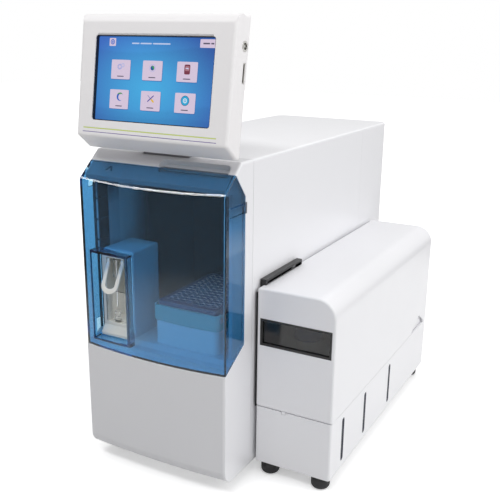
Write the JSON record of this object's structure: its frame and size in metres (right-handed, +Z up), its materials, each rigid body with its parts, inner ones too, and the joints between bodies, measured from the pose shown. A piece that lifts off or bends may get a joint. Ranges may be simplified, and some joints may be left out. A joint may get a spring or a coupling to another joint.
{
  "type": "biochemistry analyzer",
  "caption": "Bench analyzer with a clear swing door over a sample port and plate bay, a tilting screen on top and a lift-off reagent cabinet on its right side.",
  "frame": {"origin": "middle of the footprint, on the bench", "axes": "+X to the object's right as seen from the front, +Y to its back, +Z up"},
  "size_m": [0.3056, 0.534, 0.5536],
  "materials": {
    "housing_white": "satin moulded plastic",
    "inner_white": "smooth moulded plastic",
    "blue_clear": "tinted clear acrylic",
    "black_trim": "fine-textured black plastic",
    "steel": "turned stainless steel",
    "sheet_metal": "powder-coated sheet",
    "catch_grey": "moulded plastic",
    "foot_rubber": "soft black rubber",
    "plate_blue": "moulded polystyrene",
    "carriage_teal": "anodised-look plastic",
    "station_grey": "smooth moulded plastic",
    "clear_part": "clear acrylic",
    "screen_glass": "dark glass",
    "jack_metal": "plated metal",
    "rocker_red": "polished plastic",
    "bottle_plastic": "translucent polyethylene",
    "cap_plastic": "ribbed plastic",
    "board_green": "lacquered board",
    "pump_dark": "moulded plastic"
  },
  "bodies": {
    "main_body": {"front_bezel": "housing_white", "main_cover": "housing_white", "rear_shell": "housing_white", "display_neck": "housing_white", "cabinet_base": "housing_white", "chamber_surround": "inner_white", "carriage_plinth": "inner_white", "chamber_liner": "black_trim", "tubing_rail": "black_trim", "door_sensor": "black_trim", "fan_frame": "black_trim", "power_inlet": "black_trim", "switch_frame": "black_trim", "cabinet_bracket": "black_trim", "door_hinge_pins": "steel", "lever_pins": "steel", "tilt_pin": "steel", "sample_needle": "steel", "carriage_rails": "steel", "fan_guard": "steel", "panel_screws": "steel", "base_plate": "sheet_metal", "rear_panel": "sheet_metal", "socket_panel": "sheet_metal", "power_supply": "sheet_metal", "door_catch": "catch_grey", "body_feet": "foot_rubber", "cabinet_feet": "foot_rubber", "station_housing": "station_grey", "station_insert": "station_grey", "rinse_cup": "station_grey", "drip_ledge": "station_grey", "needle_guard": "clear_part", "splash_guard": "clear_part", "level_panes": "screen_glass", "data_sockets": "jack_metal", "buffer_bottle": "bottle_plastic", "reagent_bottle": "bottle_plastic", "waste_bottle": "bottle_plastic", "buffer_bottle_cap": "cap_plastic", "reagent_bottle_cap": "cap_plastic", "waste_bottle_cap": "cap_plastic", "control_board": "board_green", "rinse_pump": "pump_dark"},
    "door": {"front_door": "blue_clear"},
    "display": {"display_frame": "housing_white", "display_rear": "housing_white", "touch_screen": "screen_glass", "card_slot": "black_trim", "side_jack": "jack_metal"},
    "lever": {"sample_lever": "station_grey"},
    "carriage": {"plate_carriage": "carriage_teal", "plate_clip": "steel"},
    "microplate": {"well_plate": "plate_blue"},
    "cabinet_cover": {"cabinet_lid": "housing_white", "tube_port": "black_trim", "window_frame": "black_trim", "window_pane": "screen_glass"},
    "fan_wheel": {"fan_rotor": "black_trim"},
    "power_rocker": {"switch_rocker": "rocker_red"}
  },
  "joints": [
    {"name": "door_swing", "type": "hinge", "parent": "main_body", "child": "door", "pos_m": [-0.14615, -0.2245, 0.272], "axis": [0, 0, -1], "range_deg": [0, 90]},
    {"name": "display_tilt", "type": "hinge", "parent": "main_body", "child": "display", "pos_m": [-0.05175, -0.221, 0.414], "axis": [1, 0, 0], "range_deg": [-16, 9]},
    {"name": "lever_swing", "type": "hinge", "parent": "main_body", "child": "lever", "pos_m": [-0.11885, -0.2416, 0.266], "axis": [-1, 0, 0], "range_deg": [0, 25]},
    {"name": "carriage_slide", "type": "slide", "parent": "main_body", "child": "carriage", "axis": [0, 1, 0], "range_m": [0, 0.06]},
    {"name": "plate_lift", "type": "slide", "parent": "carriage", "child": "microplate", "axis": [0, 0, 1], "range_m": [0, 0.03]},
    {"name": "lid_lift", "type": "slide", "parent": "main_body", "child": "cabinet_cover", "axis": [0, 0, 1], "range_m": [0, 0.15]},
    {"name": "fan_spin", "type": "hinge", "parent": "main_body", "child": "fan_wheel", "pos_m": [-0.02975, 0.25, 0.268], "axis": [0, 1, 0], "continuous": true},
    {"name": "power_switch", "type": "hinge", "parent": "main_body", "child": "power_rocker", "pos_m": [-0.09975, 0.257, 0.126], "axis": [1, 0, 0], "range_deg": [0, 14]}
  ]
}
